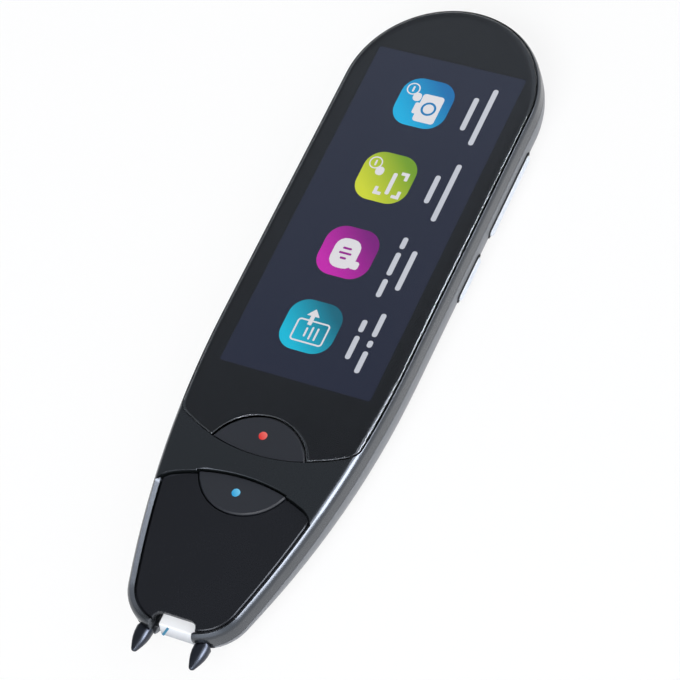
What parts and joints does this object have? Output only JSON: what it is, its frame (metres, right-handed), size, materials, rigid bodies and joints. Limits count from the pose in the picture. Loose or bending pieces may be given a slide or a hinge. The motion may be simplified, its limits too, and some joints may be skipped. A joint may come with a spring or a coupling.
{
  "type": "pen scanner",
  "caption": "Flat hand-held pen scanner with a long touch display, two dished front keys, side keys and a scan window between the prongs of a sprung contact tip.",
  "frame": {"origin": "on the flat back, under the middle of the whole pen", "axes": "+Z out of the display, -Y towards the nose, +X towards the side with the side keys"},
  "size_m": [0.0439, 0.1582, 0.0124],
  "materials": {
    "gunmetal": "satin anodised",
    "cover_glass": "gloss",
    "satin_black": "satin",
    "key_black": "fine matte",
    "red_light": "gloss",
    "blue_light": "gloss",
    "rear_shell": "fine metallic satin",
    "side_key": "satin",
    "window_white": "translucent matte",
    "film_black": "matte",
    "display": "lit panel",
    "steel": "bright",
    "board": "solder mask",
    "black_plastic": "matte",
    "battery": "foil pouch",
    "lens": "gloss"
  },
  "bodies": {
    "housing": {"front_frame": "gunmetal", "cover_glass": "cover_glass", "glass_gasket": "film_black", "display_panel": "display", "display_bracket": "steel", "nose_cover": "satin_black", "rear_cover": "rear_shell", "scan_window": "window_white", "scan_camera": "black_plastic", "scan_camera_lens": "lens", "scan_light_left": "window_white", "scan_light_right": "window_white", "main_board": "board", "processor_shield": "steel", "upper_key_switch": "black_plastic", "lower_key_switch": "black_plastic", "contact_switch": "black_plastic", "carrier_plate": "steel", "carrier_screw_1": "steel", "carrier_screw_2": "steel", "carrier_screw_3": "steel", "carrier_screw_4": "steel", "board_screw_1": "steel", "board_screw_2": "steel", "board_screw_3": "steel", "battery": "battery", "speaker_mesh": "film_black", "speaker": "black_plastic", "usb_port_shell": "steel", "usb_port_tongue": "black_plastic", "usb_board": "board", "usb_board_screw_1": "steel", "usb_board_screw_2": "steel", "microphone": "steel", "side_key_board": "board", "volume_up_switch": "black_plastic", "volume_down_switch": "black_plastic", "power_switch": "black_plastic"},
    "upper_key": {"upper_key": "key_black", "upper_key_dot": "red_light"},
    "lower_key": {"lower_key": "key_black", "lower_key_dot": "blue_light"},
    "volume_rocker": {"volume_rocker": "side_key"},
    "power_key": {"power_key": "side_key"},
    "contact_fork": {"contact_fork": "gunmetal"}
  },
  "joints": [
    {"name": "upper_key_press", "type": "slide", "parent": "housing", "child": "upper_key", "axis": [0, 0, -1], "range_m": [0, 0.0004], "stiffness_N_per_m": 2500},
    {"name": "lower_key_press", "type": "slide", "parent": "housing", "child": "lower_key", "axis": [0, 0, -1], "range_m": [0, 0.0004], "stiffness_N_per_m": 2500},
    {"name": "volume_rocker_tilt", "type": "hinge", "parent": "housing", "child": "volume_rocker", "pos_m": [0.01564, 0.04215, 0.0039], "axis": [0, 0, 1], "range_deg": [-1.8, 1.8], "stiffness_Nm_per_rad": 0.2},
    {"name": "power_key_press", "type": "slide", "parent": "housing", "child": "power_key", "axis": [-1, 0, 0], "range_m": [0, 0.0004], "stiffness_N_per_m": 2500},
    {"name": "contact_fork_press", "type": "slide", "parent": "housing", "child": "contact_fork", "axis": [0, 1, 0], "range_m": [0, 0.0005], "stiffness_N_per_m": 1500, "springref_m": -0.0001}
  ]
}
